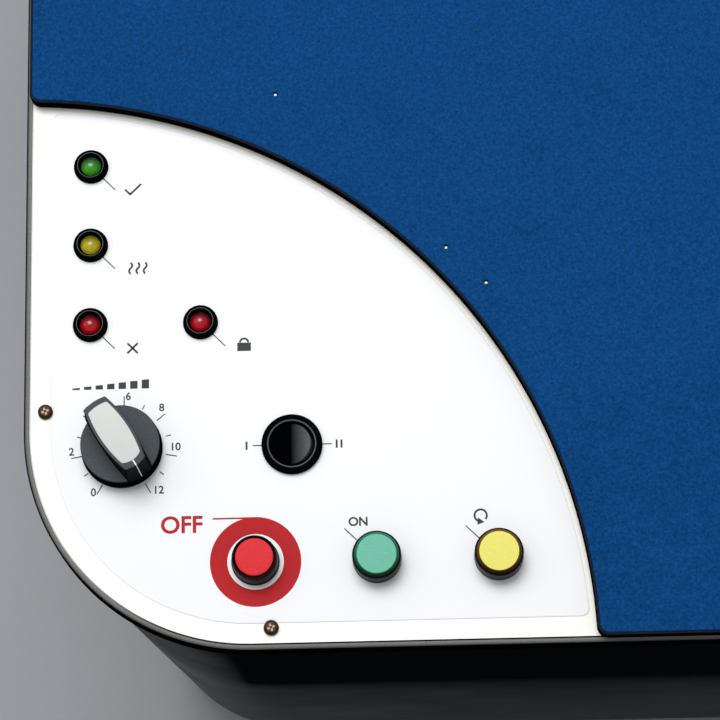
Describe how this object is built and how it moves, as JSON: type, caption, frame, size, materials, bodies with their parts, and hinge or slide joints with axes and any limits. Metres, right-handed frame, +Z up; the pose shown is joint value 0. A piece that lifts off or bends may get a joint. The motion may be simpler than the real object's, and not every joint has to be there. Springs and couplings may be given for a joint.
{
  "type": "induction centrifugal casting machine",
  "caption": "Bench-top casting machine with a black tapered housing, a blue hinged lid round a corner control panel, and a spinning crucible arm over a lifting induction coil.",
  "frame": {"origin": "on the floor, under the middle of the top rim", "axes": "+Z up; -Y is the front, with the control panel at its left end; +X to the right as seen from the front; the rotor points along +X at rest"},
  "size_m": [0.6, 0.62, 0.3923],
  "materials": {
    "shell_black": "satin black powder coat",
    "steel_grey": "grey primer",
    "rim_grey": "satin dark grey moulding",
    "plate_cream": "satin cream coat, faintly brushed",
    "overlay_white": "matt printed film",
    "rubber_black": "matt",
    "lid_blue": "fine-textured blue powder coat",
    "trim_black": "satin black edge trim",
    "black_gloss": "gloss",
    "black_matt": "satin",
    "knob_charcoal": "satin charcoal",
    "inlay_grey": "satin light grey",
    "lens_green": "translucent green",
    "lens_yellow": "translucent yellow",
    "lens_red": "translucent red",
    "cap_red": "red, slightly grained",
    "cap_green": "translucent green",
    "cap_yellow": "translucent yellow",
    "screw_bronze": "bronzed",
    "steel": "brushed",
    "steel_bright": "ground",
    "aluminium": "milled",
    "weight_iron": "cast, machined faces",
    "copper": "copper tube",
    "brass": "turned brass",
    "ceramic": "unglazed fired ceramic",
    "insulator": "glass-filled laminate",
    "board_green": "solder mask",
    "can_blue": "sleeved can",
    "window_glass": "dark welding glass"
  },
  "bodies": {
    "housing": {"base_plate": "steel_grey", "rubber_feet": "rubber_black", "body_shell": "shell_black", "top_rim": "rim_grey", "deck_plate": "plate_cream", "panel_overlay": "overlay_white", "deck_screws": "screw_bronze", "lamp_bezels": "black_gloss", "lamp_lens_green": "lens_green", "lamp_lens_yellow": "lens_yellow", "lamp_lenses_red": "lens_red", "button_collars": "black_matt", "rocker_bezel": "black_gloss", "potentiometer": "steel", "control_board": "board_green", "hinge_brackets": "black_matt", "lid_lock": "steel_grey", "casting_chamber": "steel", "coil_well": "steel", "drive_plate": "steel_grey", "bearing_housing": "steel_grey", "spindle_bearings": "steel_bright", "motor": "steel_grey", "drive_belt": "rubber_black", "lift_cylinder": "aluminium", "generator": "aluminium", "capacitors": "can_blue", "rear_panel": "shell_black", "fan_frame": "black_matt", "fan_guard": "steel_bright", "cable_gland": "black_matt", "water_fittings": "brass", "hinge_pins": "steel_bright"},
    "lid": {"lid_skin": "lid_blue", "lid_trim": "trim_black", "lid_liner": "steel", "chamber_seal": "rubber_black", "window_glass": "window_glass", "window_frame": "shell_black", "lid_striker": "steel", "lid_hinge_leaves": "shell_black"},
    "rotor": {"spindle": "steel_bright", "spindle_pulley": "aluminium", "rotor_arm": "aluminium", "flask_cradle": "steel"},
    "carriage": {"crucible_carriage": "steel", "crucible": "ceramic"},
    "balance_weight": {"counterweight": "weight_iron", "clamp_screw": "black_matt"},
    "motor_rotor": {"motor_pulley": "aluminium"},
    "coil": {"induction_coil": "copper", "coil_lift": "insulator"},
    "knob": {"power_knob": "knob_charcoal", "knob_inlay": "inlay_grey"},
    "rocker": {"rocker_actuator": "black_gloss"},
    "stop_button": {"stop_cap": "cap_red"},
    "start_button": {"start_cap": "cap_green"},
    "casting_button": {"casting_cap": "cap_yellow"},
    "bolt": {"lock_bolt": "steel_bright"},
    "fan": {"fan_rotor": "black_matt"}
  },
  "joints": [
    {"name": "lid_hinge", "type": "hinge", "parent": "housing", "child": "lid", "pos_m": [0, 0.2823, 0.38], "axis": [-1, 0, 0], "range_deg": [0, 80]},
    {"name": "rotor_spin", "type": "hinge", "parent": "housing", "child": "rotor", "pos_m": [0.046, 0.03, 0.244], "axis": [0, 0, 1], "continuous": true},
    {"name": "motor_spin", "type": "hinge", "parent": "housing", "child": "motor_rotor", "pos_m": [-0.14492, -0.16092, 0.071], "axis": [0, 0, 1], "continuous": true},
    {"name": "carriage_slide", "type": "slide", "parent": "rotor", "child": "carriage", "axis": [1, 0, 0], "range_m": [0, 0.009]},
    {"name": "balance_slide", "type": "slide", "parent": "rotor", "child": "balance_weight", "axis": [1, 0, 0], "range_m": [-0.022, 0.048]},
    {"name": "coil_lift", "type": "slide", "parent": "housing", "child": "coil", "axis": [0, 0, -1], "range_m": [-0.054, 0]},
    {"name": "power_knob_turn", "type": "hinge", "parent": "housing", "child": "knob", "pos_m": [-0.2624, -0.2317, 0.38], "axis": [0, 0, 1], "range_deg": [0, 300]},
    {"name": "mode_rocker", "type": "hinge", "parent": "housing", "child": "rocker", "pos_m": [-0.1981, -0.2317, 0.369], "axis": [0, 1, 0], "range_deg": [0, 14]},
    {"name": "stop_press", "type": "slide", "parent": "housing", "child": "stop_button", "axis": [0, 0, -1], "range_m": [0, 0.0025], "stiffness_N_per_m": 900},
    {"name": "start_press", "type": "slide", "parent": "housing", "child": "start_button", "axis": [0, 0, -1], "range_m": [0, 0.0025], "stiffness_N_per_m": 900},
    {"name": "casting_press", "type": "slide", "parent": "housing", "child": "casting_button", "axis": [0, 0, -1], "range_m": [0, 0.0025], "stiffness_N_per_m": 900},
    {"name": "lid_bolt", "type": "slide", "parent": "housing", "child": "bolt", "axis": [1, 0, 0], "range_m": [0, 0.014], "stiffness_N_per_m": 300},
    {"name": "fan_spin", "type": "hinge", "parent": "housing", "child": "fan", "pos_m": [-0.09, 0.2924, 0.11], "axis": [0, 0.9981, -0.061], "continuous": true}
  ],
  "couplings": [
    {"joint": "motor_spin", "follows": "rotor_spin", "ratio": 1.5}
  ]
}
